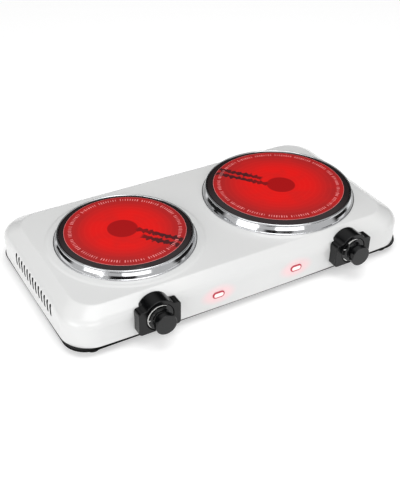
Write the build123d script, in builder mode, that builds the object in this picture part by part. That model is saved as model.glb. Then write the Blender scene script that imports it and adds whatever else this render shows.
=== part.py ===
"""Double infrared hot plate: two glass-topped radiant heaters in a pressed steel housing.

Millimetres, +Z up, the feet stand on z = 0, the controls face -Y.
The origin is the middle of the whole object's footprint.
"""
from build123d import *
from math import atan2, cos, radians, sin, sqrt, tan
import os

# ---------------------------------------------------------------- housing
housing_length = 450.0
housing_width = 237.0
housing_corner_radius = 35.0
sheet = 0.8                    # pressed steel of the housing
wall_height = 30.0             # lower edge to where the shoulder starts
shoulder_run = 18.0
shoulder_rise = 11.0
shoulder_round = 12.0          # bend between wall and shoulder
field_round = 3.0              # soft crease between shoulder and flat field
field_corner_radius = 29.0
platform_height = 0.8          # raised round platform that seats the smaller burner
platform_margin = 11.7         # how far it shows beyond the trim ring
platform_slope = 2.0

# ---------------------------------------------------------------- base
foot_height = 7.5
foot_radius = 8.0
foot_taper = 1.0
foot_recess = 3.6              # deep counterbore for the screw head
foot_inset_x = 28.0
foot_inset_y = 14.0
rim_height = 3.5               # black lip that shows under the housing's corners
rim_width = 4.0
rim_inset = 1.2
flange_inset = 0.2              # thin flange turned out under the lip
flange_thickness = 0.7
flange_corner_radius = 28.0
front_drop = 2.6               # the wall's edge hangs lower between the corners
side_drop = 1.8
base_corner_radius = 26.5      # sharper than the housing's, so the lip shows at the corners
base_sheet = 1.2
upstand_height = 9.0
upstand_gap = 0.8
upstand_sheet = 1.0

# ---------------------------------------------------------------- burners
small_glass_radius = 77.5
large_glass_radius = 90.0
burner_spacing = 214.5
burner_shift = 0.75            # the pair sits a little to the right
burner_setback = -2.0          # from the housing's middle line
glass_thickness = 4.0
glass_bevel = 8.0               # printed rim slopes down to the trim ring
glass_bevel_drop = 2.0
glass_rise = 13.0              # cooking surface above the flat field
glass_gap = 0.3                # between glass edge and trim ring
gasket_thickness = 0.8
trim_sheet = 0.9
trim_flare = 6.8               # trim ring's foot beyond the glass
ledge_width = 5.0
pan_gap = 0.6                  # pan inside the ledge
pan_sheet = 0.6
pan_top_gap = 0.4              # rim of the pan below the glass
opening_gap = 1.6              # housing opening round the pan
insulation_thickness = 14.0
insulation_gap = 0.2
insulation_wall_width = 6.0
air_gap = 2.0                  # top of the element below the glass
coil_height = 3.0
coil_ribbon = 0.8
coil_pitch = 6.5
coil_slot = 11.0               # half width of the lane left for the limiter
hub_radius = 18.0
hub_offset = 3.5               # hub sits away from the limiter
limiter_angle = -51.5          # left burner, right burner is turned by 180
bar_width = 5.6
bar_height = 3.2
bar_spacing = 13.6
bead_length = 3.4
bead_neck = 1.2
switch_size = (26.0, 18.0, 11.0)
strap_width = 20.0
strap_sheet = 1.2
strap_angle = 45.0
strap_reach = 4.0              # strap leg outside the pan
strap_tab = 13.0
stud_radius = 1.95
stud_length = 7.0

# ---------------------------------------------------------------- controls
left_control_x = -127.5
right_control_x = 131.5
control_height = 23.0          # shaft above the housing's lower edge
bezel_width = 50.5
bezel_drop = 17.5              # below the shaft
bezel_shoulder = 13.0          # shoulders above the shaft
bezel_depth = 12.0
bezel_corner = 4.0
bezel_bell_radius = 19.0
bezel_bell_lift = 2.5          # its centre above the shaft
bezel_bell_fillet = 7.0
bezel_edge = 0.8
bezel_gap = 0.1                # bezel to the housing's skin
bezel_overlap = 0.5            # outline starts behind the wall's face
bell_overlap = 9.0
bezel_floor = 4.0
well_radius = 17.0
skirt_gap = 0.7                # knob skirt to well
skirt_recess = 0.5             # skirt's face behind the bezel's
skirt_lift = 0.9               # knob's back above the bush
knob_reach = 15.0              # knob face in front of the bezel
cap_radius = 12.5
cap_length = 6.5
neck_radius = 10.2
knob_wall = 2.6
hub_wall = 2.6
shaft_radius = 3.0
shaft_clearance = 0.05
shaft_flat = 1.0               # depth of the D flat
knob_clearance = 0.1
clip_thickness = 0.3
boss_half = 15.0               # flat pressed in the bend behind each bezel
boss_top = 11.0                # above the shaft
bush_radius = 4.5
bush_flange_radius = 7.0
bush_thread = 6.4              # bush in front of the housing wall
hole_clearance = 0.25
nut_across = 14.0
nut_thickness = 2.2
regulator_size = (30.0, 20.0, 18.0)
regulator_setback = 6.2        # body behind the inner wall face
shaft_engagement = 6.0
spade_size = (6.3, 8.0, 0.8)

# ---------------------------------------------------------------- lamps and vents
left_lamp_x = -48.0
right_lamp_x = 57.5
lamp_height = 15.5             # above the housing's lower edge
lamp_flange = (15.5, 8.5)
lamp_body = (12.6, 5.6)
lamp_bore_radius = 2.1
lamp_flange_thickness = 1.0
lamp_depth = 10.0
neon_radius = 1.9
neon_length = 12.0
vent_count = 13
vent_pitch = 8.9
vent_length = 16.0
vent_width = 4.2
vent_height = 20.5             # middle of the slots above the lower edge
vent_shift = -6.5

# ---------------------------------------------------------------- cord entry and wiring
gland_x = -60.0
gland_height = 14.0
gland_bore_radius = 3.7
gland_body_radius = 6.0
gland_flange_radius = 9.0
gland_nose_radius = 6.4
gland_overhang = 8.0
gland_inside = 9.0
gland_nut_across = 19.0
gland_nut_thickness = 4.0
block_size = (42.0, 17.0, 14.0)
block_setback = 40.0           # from the back wall
pole_pitch = 12.0
pole_radius = 2.6
screw_radius = 2.0
screw_head_radius = 3.8
screw_head_height = 2.4
screw_nut_across = 7.0
screw_nut_thickness = 3.2
post_radius = 4.0
post_x = 190.0
post_y = 85.0
post_thread = 12.0
bush_clearance = 0.05          # thread to its nut
lead_post_radius = 1.6
lead_post_reach = 6.0
bar_end_gap = 1.5
bezel_screw_radius = 1.5
bezel_screw_length = 9.0
bezel_screw_spots = [(-20.0, -10.0), (20.0, -10.0)]
clip_width = 3.2
clip_length = 9.0
clip_play = 0.02
earth_shift = 40.0

# ---------------------------------------------------------------- worked out from the above
lower_edge = foot_height + rim_height
wall_top = lower_edge + wall_height
field = wall_top + shoulder_rise
slope = atan2(shoulder_rise, shoulder_run)
glass_top = field + glass_rise
glass_bottom = glass_top - glass_thickness
ledge_top = glass_bottom - gasket_thickness
coil_top = glass_bottom - air_gap
insulation_top = coil_top - coil_height
pan_floor = insulation_top - insulation_thickness
pan_bottom = pan_floor - pan_sheet
pan_top = glass_bottom - pan_top_gap
base_floor = foot_height + base_sheet
skirt_radius = well_radius - skirt_gap
knob_overhang = bezel_depth + knob_reach
middle_y = (knob_overhang - gland_overhang) / 2
front_y = middle_y - housing_width / 2
back_y = middle_y + housing_width / 2
inner_front_y = front_y + sheet
bezel_front_y = front_y - bezel_depth
well_floor_y = front_y - bezel_floor
bush_end_y = front_y - bush_thread
knob_back_y = bush_end_y - skirt_lift
knob_face_y = bezel_front_y - knob_reach
regulator_y = inner_front_y + regulator_setback
shaft_end_y = knob_face_y + knob_wall + 2.0
shaft_z = lower_edge + control_height
lamp_z = lower_edge + lamp_height
burner_y = middle_y + burner_setback
foot_x = housing_length / 2 - foot_inset_x
foot_y = housing_width / 2 - foot_inset_y
gland_z = lower_edge + gland_height
block_y = back_y - block_setback

burners = {
    "left": dict(x=burner_shift - burner_spacing / 2, glass=small_glass_radius,
                 seat=field + platform_height, turn=limiter_angle),
    "right": dict(x=burner_shift + burner_spacing / 2, glass=large_glass_radius,
                  seat=field, turn=limiter_angle + 180),
}
controls = {"left": left_control_x, "right": right_control_x}
lamps = {"left": left_lamp_x, "right": right_lamp_x}
foot_places = [(sx * foot_x, middle_y + sy * foot_y) for sx in (-1, 1) for sy in (-1, 1)]
post_places = [(x, middle_y + sy * post_y) for x in (-post_x, 0, post_x) for sy in (-1, 1)]


def burner_plane(side, z=0.0):
    """Level plane on a burner's axis, its X towards the limiter's outer end."""
    turn = radians(burners[side]["turn"])
    return Plane(origin=(burners[side]["x"], burner_y, z), x_dir=(cos(turn), sin(turn), 0),
                 z_dir=(0, 0, 1))


def strap_plane(side, z=0.0):
    """Level plane on a burner's axis, its X along the strap."""
    turn = radians(strap_angle)
    return Plane(origin=(burners[side]["x"], burner_y, z), x_dir=(cos(turn), sin(turn), 0),
                 z_dir=(0, 0, 1))


def front_plane(x, y, z):
    """Upright plane that faces the user, its Y pointing up."""
    return Plane(origin=(x, y, z), x_dir=(1, 0, 0), z_dir=(0, -1, 0))


def back_plane(x, y, z):
    """Upright plane that faces away from the user, its Y pointing up."""
    return Plane(origin=(x, y, z), x_dir=(-1, 0, 0), z_dir=(0, 1, 0))


def pan_radius(side):
    return burners[side]["glass"] - ledge_width - pan_gap


def finish(part, name):
    """Label a finished piece and write it."""
    part.part.label = name
    export_step(part.part, f"parts/{name}.step")
    return part.part


# ---------------------------------------------------------------- housing and base
def housing_form(inset):
    """Solid inside of the housing's skin, moved inwards by inset."""
    wall_drop = inset * tan((radians(90) - slope) / 2)
    field_in = shoulder_run + inset * tan(slope / 2)
    with BuildPart() as form:
        with BuildSketch(Plane.XY.offset(lower_edge - front_drop)):
            with Locations((0, middle_y)):
                RectangleRounded(housing_length - 2 * inset, housing_width - 2 * inset,
                                 housing_corner_radius - inset)
        extrude(amount=wall_height + front_drop - wall_drop)
        with BuildSketch(Plane.XY.offset(wall_top - wall_drop)):
            with Locations((0, middle_y)):
                RectangleRounded(housing_length - 2 * inset, housing_width - 2 * inset,
                                 housing_corner_radius - inset)
        with BuildSketch(Plane.XY.offset(field - inset)):
            with Locations((0, middle_y)):
                RectangleRounded(housing_length - 2 * field_in, housing_width - 2 * field_in,
                                 field_corner_radius - inset * tan(slope / 2))
        loft(ruled=True)
        bend = form.edges().filter_by_position(Axis.Z, wall_top - wall_drop - 0.01,
                                               wall_top - wall_drop + 0.01)
        fillet(bend, shoulder_round - inset)
        crease = form.edges().filter_by_position(Axis.Z, field - inset - 0.01,
                                                 field - inset + 0.01)
        fillet(crease, field_round)
        for burner in burners.values():
            lift = burner["seat"] - field
            if lift > 0:
                reach = burner["glass"] + trim_flare + platform_margin
                with Locations((burner["x"], burner_y, field - inset + lift / 2)):
                    Cone(reach, reach - platform_slope, lift)
        for x in controls.values():
            with BuildSketch(front_plane(x, front_y + inset, shaft_z)):
                with Locations((0, (boss_top - inset) / 2)):
                    Rectangle(2 * (boss_half - inset), boss_top - inset)
            extrude(amount=-boss_top)
    return form.part


def make_top_housing():
    outer = housing_form(0)
    inner = housing_form(sheet)
    half_x = housing_length / 2 - housing_corner_radius - 2
    half_y = housing_width / 2 - housing_corner_radius - 2
    walls = [(Plane(origin=(0, y, lower_edge), x_dir=(1, 0, 0), z_dir=(0, -1, 0)),
              half_x, front_drop) for y in (front_y, back_y)]
    walls += [(Plane(origin=(x, middle_y, lower_edge), x_dir=(0, 1, 0), z_dir=(1, 0, 0)),
               half_y, side_drop) for x in (-housing_length / 2, housing_length / 2)]
    with BuildPart() as top_housing:
        add(outer)
        add(inner, mode=Mode.SUBTRACT)
        # the wall's edge is level round the corners and hangs a little between them
        for plane, half, drop in walls:
            with BuildSketch(plane):
                with BuildLine():
                    Polyline((-half, 0), (-housing_length, 0), (-housing_length, -5),
                             (housing_length, -5), (housing_length, 0), (half, 0))
                    ThreePointArc((half, 0), (0, -drop), (-half, 0))
                make_face()
            extrude(amount=housing_corner_radius - 1, both=True, mode=Mode.SUBTRACT)
        for side, burner in burners.items():
            with BuildSketch(burner_plane(side, field + 2 * platform_height)):
                Circle(pan_radius(side) + opening_gap)
            extrude(amount=-4 * platform_height - sheet, mode=Mode.SUBTRACT)
            with BuildSketch(strap_plane(side, burner["seat"] - sheet)):
                with Locations(*stud_spots(side)):
                    Circle(stud_radius)
            extrude(amount=-stud_length)
        for x in controls.values():
            with BuildSketch(front_plane(x, inner_front_y + 0.5, shaft_z)):
                Circle(bush_radius + hole_clearance)
                with Locations(*bezel_screw_spots):
                    Circle(bezel_screw_radius + hole_clearance)
            extrude(amount=sheet + 1, mode=Mode.SUBTRACT)
        for x in lamps.values():
            with BuildSketch(front_plane(x, inner_front_y + 0.5, lamp_z)):
                SlotOverall(lamp_body[0] + hole_clearance, lamp_body[1] + hole_clearance)
            extrude(amount=sheet + 1, mode=Mode.SUBTRACT)
        with BuildSketch(back_plane(gland_x, back_y - sheet - 0.5, gland_z)):
            Circle(gland_body_radius + hole_clearance)
        extrude(amount=sheet + 1, mode=Mode.SUBTRACT)
        for sign in (-1, 1):
            wall = Plane(origin=(sign * (housing_length / 2 + 1), middle_y + vent_shift,
                                 lower_edge + vent_height), x_dir=(0, 1, 0), z_dir=(-sign, 0, 0))
            with BuildSketch(wall):
                with GridLocations(vent_pitch, 1, vent_count, 1):
                    SlotOverall(vent_length, vent_width, rotation=90)
            extrude(amount=sheet + 2, mode=Mode.SUBTRACT)
    return finish(top_housing, "top_housing")


def stud_spots(side):
    reach = pan_radius(side) + strap_reach + strap_tab / 2
    return [(-reach, 0), (reach, 0)]


def make_base_plate():
    length = housing_length - 2 * rim_inset
    width = housing_width - 2 * rim_inset
    upstand_inset = sheet + upstand_gap
    with BuildPart() as base_plate:
        with BuildSketch(Plane.XY.offset(foot_height)):
            with Locations((0, middle_y)):
                RectangleRounded(length, width, base_corner_radius)
        extrude(amount=rim_height)
        with BuildSketch(Plane.XY.offset(foot_height)):
            with Locations((0, middle_y)):
                RectangleRounded(housing_length - 2 * flange_inset,
                                 housing_width - 2 * flange_inset, flange_corner_radius)
        extrude(amount=flange_thickness)
        with BuildSketch(Plane.XY.offset(base_floor)):
            with Locations((0, middle_y)):
                RectangleRounded(length - 2 * rim_width, width - 2 * rim_width,
                                 base_corner_radius)
        extrude(amount=rim_height, mode=Mode.SUBTRACT)
        with BuildSketch(Plane.XY.offset(lower_edge)):
            with Locations((0, middle_y)):
                RectangleRounded(housing_length - 2 * upstand_inset,
                                 housing_width - 2 * upstand_inset,
                                 housing_corner_radius - upstand_inset)
                RectangleRounded(housing_length - 2 * upstand_inset - 2 * upstand_sheet,
                                 housing_width - 2 * upstand_inset - 2 * upstand_sheet,
                                 housing_corner_radius - upstand_inset - upstand_sheet,
                                 mode=Mode.SUBTRACT)
        extrude(amount=upstand_height)
        # notch in the upstand for the cord gland's nut
        with BuildSketch(Plane.XY.offset(lower_edge)):
            with Locations((gland_x, back_y - upstand_inset)):
                Rectangle(gland_nut_across + 6, 4 * upstand_sheet)
        extrude(amount=upstand_height, mode=Mode.SUBTRACT)
        with BuildSketch(Plane.XY.offset(foot_height)):
            with Locations(*foot_places):
                Circle(screw_radius + hole_clearance)
            with Locations(*post_places):
                Circle(screw_radius + hole_clearance)
            for burner in burners.values():
                with Locations((burner["x"], burner_y)):
                    with GridLocations(12, 46, 9, 3):
                        SlotOverall(34, 4, rotation=90)
        extrude(amount=rim_height, mode=Mode.SUBTRACT)
    return finish(base_plate, "base_plate")


def make_foot(index, place):
    with BuildPart() as foot:
        with BuildSketch(Plane.XY):
            with Locations(place):
                Circle(foot_radius)
        extrude(amount=foot_height)
        fillet(foot.edges().sort_by(Axis.Z)[0], foot_taper)
        with BuildSketch(Plane.XY):
            with Locations(place):
                Circle(screw_head_radius + hole_clearance)
        extrude(amount=foot_recess, mode=Mode.SUBTRACT)
        with BuildSketch(Plane.XY):
            with Locations(place):
                Circle(screw_radius + hole_clearance)
        extrude(amount=foot_height, mode=Mode.SUBTRACT)
    names = ["left_front_foot", "left_back_foot", "right_front_foot", "right_back_foot"]
    return finish(foot, names[index])


def hexagon(across):
    """Across-flats size to the radius that RegularPolygon takes."""
    return across / 2 / cos(radians(30))


def make_foot_fasteners():
    with BuildPart() as foot_screws:
        with BuildSketch(Plane.XY.offset(foot_recess - screw_head_height)):
            with Locations(*foot_places):
                Circle(screw_head_radius)
        extrude(amount=screw_head_height)
        with BuildSketch(Plane.XY.offset(foot_recess)):
            with Locations(*foot_places):
                Circle(screw_radius)
        extrude(amount=base_floor + screw_nut_thickness + 1 - foot_recess)
        with BuildSketch(Plane.XY.offset(foot_recess - screw_head_height)):
            with Locations(*foot_places):
                Rectangle(4.2, 1.0)
                Rectangle(1.0, 4.2)
        extrude(amount=1.2, mode=Mode.SUBTRACT)
    finish(foot_screws, "foot_screws")
    with BuildPart() as foot_nuts:
        with BuildSketch(Plane.XY.offset(base_floor)):
            with Locations(*foot_places):
                RegularPolygon(hexagon(screw_nut_across), 6)
                Circle(screw_radius + bush_clearance, mode=Mode.SUBTRACT)
        extrude(amount=screw_nut_thickness)
    finish(foot_nuts, "foot_nuts")


def make_posts():
    """Threaded posts that carry the housing's top and take the base screws."""
    with BuildPart() as support_posts:
        with BuildSketch(Plane.XY.offset(base_floor)):
            with Locations(*post_places):
                RegularPolygon(hexagon(2 * post_radius), 6)
        extrude(amount=field - sheet - base_floor)
        with BuildSketch(Plane.XY.offset(base_floor)):
            with Locations(*post_places):
                Circle(screw_radius + bush_clearance)
        extrude(amount=post_thread, mode=Mode.SUBTRACT)
    finish(support_posts, "support_posts")
    with BuildPart() as base_screws:
        with BuildSketch(Plane.XY.offset(foot_height - screw_head_height)):
            with Locations(*post_places):
                Circle(screw_head_radius)
        extrude(amount=screw_head_height)
        fillet(base_screws.edges().group_by(Axis.Z)[0], 0.9)
        with BuildSketch(Plane.XY.offset(foot_height)):
            with Locations(*post_places):
                Circle(screw_radius)
        extrude(amount=base_sheet + post_thread - 1)
        with BuildSketch(Plane.XY.offset(foot_height - screw_head_height)):
            with Locations(*post_places):
                Rectangle(4.2, 1.0)
                Rectangle(1.0, 4.2)
        extrude(amount=1.2, mode=Mode.SUBTRACT)
    finish(base_screws, "base_screws")


# ---------------------------------------------------------------- burners
def make_trim_ring(side):
    """Polished ring: bead round the glass, skirt down to the housing, ledge under the glass."""
    burner = burners[side]
    rim = burner["glass"]
    seat = burner["seat"] + trim_sheet / 2
    half = trim_sheet / 2
    wall = rim + glass_gap + half
    ledge = ledge_top - half
    bead = 1.15
    bead_z = glass_top - glass_bevel_drop - bead + 0.3
    plane = Plane(origin=(burner["x"], burner_y, 0), x_dir=(1, 0, 0), z_dir=(0, -1, 0))
    under = burner["seat"] - sheet
    with BuildPart() as trim_ring:
        with BuildSketch(plane):
            with BuildLine():
                Polyline((rim - ledge_width, ledge), (wall, ledge), (wall, bead_z))
                ThreePointArc((wall, bead_z), (wall + bead, bead_z + bead),
                              (wall + 2 * bead, bead_z))
                Line((wall + 2 * bead, bead_z), (wall + 1.5 * bead, bead_z - 1.6))
                ThreePointArc((wall + 1.5 * bead, bead_z - 1.6),
                              (rim + trim_flare / 2 + 0.4, (bead_z + seat) / 2),
                              (rim + trim_flare - 2.0, seat + 1.5))
                ThreePointArc((rim + trim_flare - 2.0, seat + 1.5),
                              (rim + trim_flare - 0.95, seat + 1.15),
                              (rim + trim_flare - half, seat))
            trace(line_width=trim_sheet)
        revolve(axis=Axis((burner["x"], burner_y, 0), (0, 0, 1)))
        # tabs bent under the housing hold the ring down
        tab_in = rim - ledge_width
        opening = pan_radius(side) + opening_gap
        for turn in (60, 180, 300):
            direction = radians(turn)
            across = Plane(origin=(burner["x"], burner_y, 0),
                           x_dir=(cos(direction), sin(direction), 0),
                           z_dir=(sin(direction), -cos(direction), 0))
            with BuildSketch(across):
                with BuildLine():
                    Polyline((tab_in, ledge_top - trim_sheet + 0.1), (tab_in, under - 0.7),
                             (opening + 3, under - 0.7), (opening + 3, under),
                             (tab_in + 0.7, under), (tab_in + 0.7, ledge_top - trim_sheet + 0.1),
                             close=True)
                make_face()
            extrude(amount=5, both=True)
    return finish(trim_ring, f"{side}_trim_ring")


def ring(outer, inner=0.0):
    """Circle or flat ring in the sketch being drawn."""
    Circle(outer)
    if inner > 0:
        Circle(inner, mode=Mode.SUBTRACT)


def make_burner(side):
    rim = burners[side]["glass"]
    pan = pan_radius(side)
    wall_out = pan - pan_sheet - insulation_gap
    wall_in = wall_out - insulation_wall_width
    x = burners[side]["x"]
    with BuildPart() as glass:
        with BuildSketch(Plane(origin=(x, burner_y, 0), x_dir=(1, 0, 0), z_dir=(0, -1, 0))):
            with BuildLine():
                Polyline((0, glass_bottom), (rim, glass_bottom),
                         (rim, glass_top - glass_bevel_drop), (rim - glass_bevel, glass_top),
                         (0, glass_top), close=True)
            make_face()
        revolve(axis=Axis((x, burner_y, 0), (0, 0, 1)))
    finish(glass, f"{side}_glass")
    with BuildPart() as gasket:
        with BuildSketch(burner_plane(side, ledge_top)):
            ring(rim - 0.4, rim - ledge_width + 0.4)
        extrude(amount=gasket_thickness)
    finish(gasket, f"{side}_glass_gasket")
    with BuildPart() as heater_pan:
        with BuildSketch(burner_plane(side, pan_bottom)):
            ring(pan)
        extrude(amount=pan_top - pan_bottom)
        fillet(heater_pan.edges().group_by(Axis.Z)[0], 2.0)
        with BuildSketch(burner_plane(side, pan_floor)):
            ring(pan - pan_sheet)
        extrude(amount=pan_top - pan_floor, mode=Mode.SUBTRACT)
        with BuildSketch(burner_plane(side, pan_bottom)):
            with Locations(*post_spots(side)):
                Circle(lead_post_radius + hole_clearance)
        extrude(amount=pan_sheet, mode=Mode.SUBTRACT)
    finish(heater_pan, f"{side}_heater_pan")
    with BuildPart() as insulation:
        with BuildSketch(burner_plane(side, pan_floor)):
            ring(wall_out)
            with Locations(*post_spots(side)):
                Circle(lead_post_radius + hole_clearance, mode=Mode.SUBTRACT)
        extrude(amount=insulation_thickness)
    finish(insulation, f"{side}_insulation_base")
    with BuildPart() as insulation_wall:
        with BuildSketch(burner_plane(side, insulation_top)):
            ring(wall_out, wall_in)
        extrude(amount=pan_top - insulation_top)
    finish(insulation_wall, f"{side}_insulation_wall")
    make_coil(side, wall_in)
    with BuildPart() as hub:
        with BuildSketch(burner_plane(side, insulation_top)):
            with Locations((-hub_offset, 0)):
                Circle(hub_radius)
        extrude(amount=coil_height + 0.5)
        fillet(hub.edges().group_by(Axis.Z)[-1], 0.5)
    finish(hub, f"{side}_centre_disc")


def post_spots(side):
    """Where the two limiter bars turn down through the insulation."""
    reach = red_radius(side) - bar_end_gap - bar_width / 2
    return [(reach, bar_spacing / 2), (reach, -bar_spacing / 2)]


def red_radius(side):
    return pan_radius(side) - pan_sheet - insulation_gap - insulation_wall_width


def make_coil(side, wall_in):
    """Upright ribbon laid in concentric arcs that turn back at the limiter's lane."""
    first = hub_radius + hub_offset + 3
    turns = int((wall_in - 2 - first) / coil_pitch) + 1
    radii = [first + coil_pitch * i for i in range(turns)]
    half = coil_ribbon / 2
    with BuildPart() as coil:
        with BuildSketch(burner_plane(side, insulation_top)):
            for radius in radii:
                Circle(radius + half)
                Circle(radius - half, mode=Mode.SUBTRACT)
            with Locations((wall_in / 2, 0)):
                Rectangle(wall_in, 2 * coil_slot, mode=Mode.SUBTRACT)
            for i, radius in enumerate(radii[:-1]):
                edge = coil_slot + half
                sign = 1 if i % 2 else -1
                start = sqrt(radius ** 2 - edge ** 2)
                end = sqrt((radius + coil_pitch) ** 2 - edge ** 2)
                with Locations(((start + end) / 2, sign * edge)):
                    Rectangle(end - start + coil_ribbon, coil_ribbon)
        extrude(amount=coil_height)
    finish(coil, f"{side}_coil")


def make_limiter(side):
    """Two beaded bars over the element, their posts, and the cut-out under the pan."""
    reach = red_radius(side) - bar_end_gap
    starts = (hub_radius - hub_offset + 2.5, hub_radius - hub_offset + 12)
    low = insulation_top
    with BuildPart() as limiter:
        for start, place, sign in zip(starts, post_spots(side), (1, -1)):
            y = sign * bar_spacing / 2
            length = reach - start
            with BuildSketch(burner_plane(side, low)):
                with Locations((start + length / 2, y)):
                    Rectangle(length, bar_width - 2 * bead_neck)
                beads = int(length / bead_length / 2)
                for i in range(beads + 1):
                    with Locations((start + length * (i + 0.5) / (beads + 1), y)):
                        Rectangle(bead_length, bar_width)
            extrude(amount=bar_height)
            with BuildSketch(burner_plane(side, pan_bottom - lead_post_reach)):
                with Locations(place):
                    Circle(lead_post_radius)
            extrude(amount=low - pan_bottom + lead_post_reach + 0.5)
    finish(limiter, f"{side}_limiter_bars")
    with BuildPart() as switch:
        middle = post_spots(side)[0][0]
        with BuildSketch(burner_plane(side, pan_bottom - switch_size[2])):
            with Locations((middle, 0)):
                RectangleRounded(switch_size[1], switch_size[0], 2)
        extrude(amount=switch_size[2])
        with BuildSketch(burner_plane(side, pan_bottom - lead_post_reach)):
            with Locations(*post_spots(side)):
                Circle(lead_post_radius + bush_clearance)
        extrude(amount=lead_post_reach, mode=Mode.SUBTRACT)
        with BuildSketch(burner_plane(side, pan_bottom - switch_size[2] - spade_size[1])):
            with Locations((middle, -7), (middle, 7)):
                Rectangle(spade_size[2], spade_size[0])
        extrude(amount=spade_size[1] + 1)
    finish(switch, f"{side}_limiter_switch")


def make_strap(side):
    """Bridge under the pan, held by nuts on the housing's two welded studs."""
    leg = pan_radius(side) + strap_reach
    under = burners[side]["seat"] - sheet
    low = pan_bottom - strap_sheet
    origin = Plane(origin=(burners[side]["x"], burner_y, 0),
                   x_dir=(cos(radians(strap_angle)), sin(radians(strap_angle)), 0),
                   z_dir=(sin(radians(strap_angle)), -cos(radians(strap_angle)), 0))
    with BuildPart() as strap:
        with BuildSketch(origin):
            with BuildLine():
                Polyline((-leg - strap_tab, under), (-leg, under), (-leg, pan_bottom),
                         (leg, pan_bottom), (leg, under), (leg + strap_tab, under),
                         (leg + strap_tab, under - strap_sheet),
                         (leg + strap_sheet, under - strap_sheet), (leg + strap_sheet, low),
                         (-leg - strap_sheet, low), (-leg - strap_sheet, under - strap_sheet),
                         (-leg - strap_tab, under - strap_sheet), close=True)
            make_face()
        extrude(amount=strap_width / 2, both=True)
        with BuildSketch(strap_plane(side, under)):
            with Locations(*stud_spots(side)):
                Circle(stud_radius + hole_clearance)
        extrude(amount=-strap_sheet, mode=Mode.SUBTRACT)
    finish(strap, f"{side}_pan_strap")
    with BuildPart() as strap_nuts:
        with BuildSketch(strap_plane(side, under - strap_sheet)):
            with Locations(*stud_spots(side)):
                RegularPolygon(hexagon(screw_nut_across), 6)
                Circle(stud_radius + bush_clearance, mode=Mode.SUBTRACT)
        extrude(amount=-screw_nut_thickness)
    finish(strap_nuts, f"{side}_strap_nuts")


# ---------------------------------------------------------------- controls
def make_bezel(side):
    """Black moulding round a knob: box shoulders, a bell-shaped hump and a round well."""
    x = controls[side]
    skin = housing_form(-bezel_gap)
    meet = sqrt(bezel_bell_radius ** 2 - (bezel_shoulder - bezel_bell_lift) ** 2)
    with BuildPart() as bezel:
        with BuildSketch(front_plane(x, front_y + bezel_overlap, shaft_z)) as outline:
            with Locations((0, bezel_bell_lift)):
                Circle(bezel_bell_radius)
            with Locations((0, bezel_bell_lift - bezel_bell_radius)):
                Rectangle(3 * bezel_bell_radius, 2 * bezel_bell_radius, mode=Mode.SUBTRACT)
            with Locations((0, (bezel_shoulder - bezel_drop) / 2)):
                Rectangle(bezel_width, bezel_shoulder + bezel_drop)
            joints = [v for v in outline.vertices()
                      if abs(abs(v.X) - meet) < 0.01 and abs(v.Y - bezel_shoulder) < 0.01]
            fillet(joints, bezel_bell_fillet)
            corners = [v for v in outline.vertices() if abs(abs(v.X) - bezel_width / 2) < 0.01]
            fillet(corners, bezel_corner)
        extrude(amount=bezel_depth + bezel_overlap)
        with BuildSketch(front_plane(x, front_y + bell_overlap, shaft_z)):
            with Locations((0, bezel_bell_lift)):
                Circle(bezel_bell_radius)
            with Locations((0, bezel_shoulder - bezel_bell_radius - 4)):
                Rectangle(3 * bezel_bell_radius, 2 * bezel_bell_radius, mode=Mode.SUBTRACT)
        extrude(amount=bell_overlap + bezel_depth / 2)
        front = bezel.faces().sort_by(Axis.Y)[0]
        fillet(front.edges(), bezel_edge)
        back = bezel.faces().filter_by(Axis.Y).sort_by(Axis.Y)[-1]
        fillet([e for e in back.edges() if e.geom_type == GeomType.CIRCLE], 3.0)
        with BuildSketch(front_plane(x, bezel_front_y, shaft_z)):
            Circle(well_radius)
        extrude(amount=-(bezel_depth - bezel_floor), mode=Mode.SUBTRACT)
        with BuildSketch(front_plane(x, front_y, shaft_z)):
            Circle(bush_radius + hole_clearance)
        extrude(amount=bezel_floor, mode=Mode.SUBTRACT)
        with BuildSketch(front_plane(x, front_y, shaft_z)):
            with Locations(*bezel_screw_spots):
                Circle(bezel_screw_radius)
        extrude(amount=bezel_screw_length, mode=Mode.SUBTRACT)
        add(skin, mode=Mode.SUBTRACT)
    finish(bezel, f"{side}_bezel")


def make_regulator(side):
    """Energy regulator behind the wall, held by a nut on its bush."""
    x = controls[side]
    width, depth, height = regulator_size
    with BuildPart() as regulator:
        with BuildSketch(front_plane(x, regulator_y, shaft_z)):
            RectangleRounded(width, height, 1.5)
        extrude(amount=-depth)
        with BuildSketch(front_plane(x, regulator_y, shaft_z)):
            Circle(bush_flange_radius)
        extrude(amount=regulator_setback)
        with BuildSketch(front_plane(x, inner_front_y, shaft_z)):
            Circle(bush_radius)
        extrude(amount=inner_front_y - bush_end_y)
        with BuildSketch(front_plane(x, bush_end_y, shaft_z)):
            Circle(shaft_radius + shaft_clearance)
        extrude(amount=-(regulator_y + shaft_engagement - bush_end_y), mode=Mode.SUBTRACT)
        with BuildSketch(back_plane(x, regulator_y + depth, shaft_z)):
            with Locations((-9, -3), (-3, -3), (3, -3), (9, -3)):
                Rectangle(spade_size[2], spade_size[0])
        extrude(amount=spade_size[1])
    finish(regulator, f"{side}_regulator")
    with BuildPart() as nut:
        with BuildSketch(front_plane(x, well_floor_y, shaft_z)):
            RegularPolygon(hexagon(nut_across), 6)
            Circle(bush_radius + bush_clearance, mode=Mode.SUBTRACT)
        extrude(amount=nut_thickness)
    finish(nut, f"{side}_bush_nut")


def d_section(radius, flat):
    """Round bar section with one flat, the flat's distance from the centre given."""
    Circle(radius)
    with Locations((0, flat + radius)):
        Rectangle(2 * radius, 2 * radius, mode=Mode.SUBTRACT)


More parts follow.
